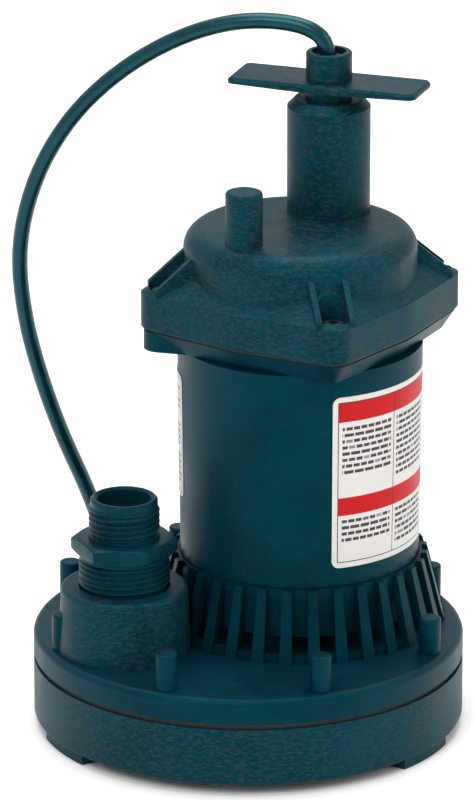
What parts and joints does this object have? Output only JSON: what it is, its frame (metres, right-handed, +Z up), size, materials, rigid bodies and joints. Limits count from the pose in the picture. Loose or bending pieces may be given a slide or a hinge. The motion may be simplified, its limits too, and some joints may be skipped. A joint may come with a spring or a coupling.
{
  "type": "submersible sump pump",
  "caption": "Submersible sump pump with a round volute base, ribbed intake screen, sealed motor housing, threaded discharge, T-bar handle and power cord.",
  "frame": {"origin": "middle of the round base, on the floor that the feet stand on", "axes": "+Z up along the motor shaft, +X from the discharge tower towards the motor"},
  "size_m": [0.2063, 0.2506, 0.2683],
  "materials": {
    "moulded_housing": "moulded satin",
    "moulded_adapter": "moulded satin",
    "gasket_rubber": "matte",
    "stainless_steel": "satin",
    "zinc_steel": "bright zinc",
    "brass_insert": "knurled",
    "sintered_bronze": "porous matte",
    "lamination_steel": "stacked sheet",
    "enamelled_copper": "varnished wire",
    "cast_rotor_aluminium": "cast",
    "cast_bracket": "cast",
    "capacitor_case": "gloss",
    "protector_case": "matte",
    "ceramic_seat": "lapped",
    "carbon_head": "lapped carbon",
    "impeller_plastic": "glass filled",
    "printed_label": "coated",
    "cord_jacket": "smooth jacket",
    "plug_vinyl": "moulded",
    "plated_brass": "polished",
    "lead_black_wire": "gloss",
    "lead_white_wire": "gloss",
    "lead_green_wire": "gloss",
    "connector_nylon": "nylon"
  },
  "bodies": {
    "pump": {"base_cover": "moulded_housing", "base_gasket": "gasket_rubber", "base_screws": "stainless_steel", "volute_housing": "moulded_housing", "discharge_tower": "moulded_housing", "screw_bosses": "moulded_housing", "standoff_posts": "moulded_housing", "discharge_adapter": "moulded_adapter", "intake_screen": "moulded_housing", "motor_housing": "moulded_housing", "motor_mount_screws": "stainless_steel", "lower_bearing": "sintered_bronze", "upper_bearing": "sintered_bronze", "seal_seat": "ceramic_seat", "stator_core": "lamination_steel", "winding_lower": "enamelled_copper", "winding_upper": "enamelled_copper", "bolt_spacers": "zinc_steel", "stator_bolts": "zinc_steel", "bearing_bracket": "cast_bracket", "run_capacitor": "capacitor_case", "capacitor_strap": "zinc_steel", "thermal_protector": "protector_case", "cap_gasket": "gasket_rubber", "cap_inserts": "brass_insert", "top_cap": "moulded_housing", "cap_washers": "stainless_steel", "cap_screws": "stainless_steel", "handle": "moulded_housing", "cord_grommet": "gasket_rubber", "inner_cord": "cord_jacket", "cord_clamp": "connector_nylon", "lead_black": "lead_black_wire", "lead_white": "lead_white_wire", "lead_green": "lead_green_wire", "wire_connectors": "connector_nylon", "ground_screw": "zinc_steel", "side_label": "printed_label", "data_label": "printed_label", "power_cord": "cord_jacket", "cord_tail": "cord_jacket", "cord_coil": "cord_jacket", "cord_tie": "gasket_rubber", "plug_body": "plug_vinyl", "plug_blades": "plated_brass", "plug_ground_pin": "plated_brass"},
    "rotor": {"shaft": "stainless_steel", "impeller": "impeller_plastic", "impeller_nut": "stainless_steel", "seal_head": "carbon_head", "seal_spring": "stainless_steel", "seal_retainer": "stainless_steel", "rotor_core": "lamination_steel", "rotor_rings": "cast_rotor_aluminium", "thrust_washers": "stainless_steel"}
  },
  "joints": [
    {"name": "rotor_spin", "type": "hinge", "parent": "pump", "child": "rotor", "pos_m": [0.022, 0, 0], "axis": [0, 0, 1], "continuous": true}
  ]
}
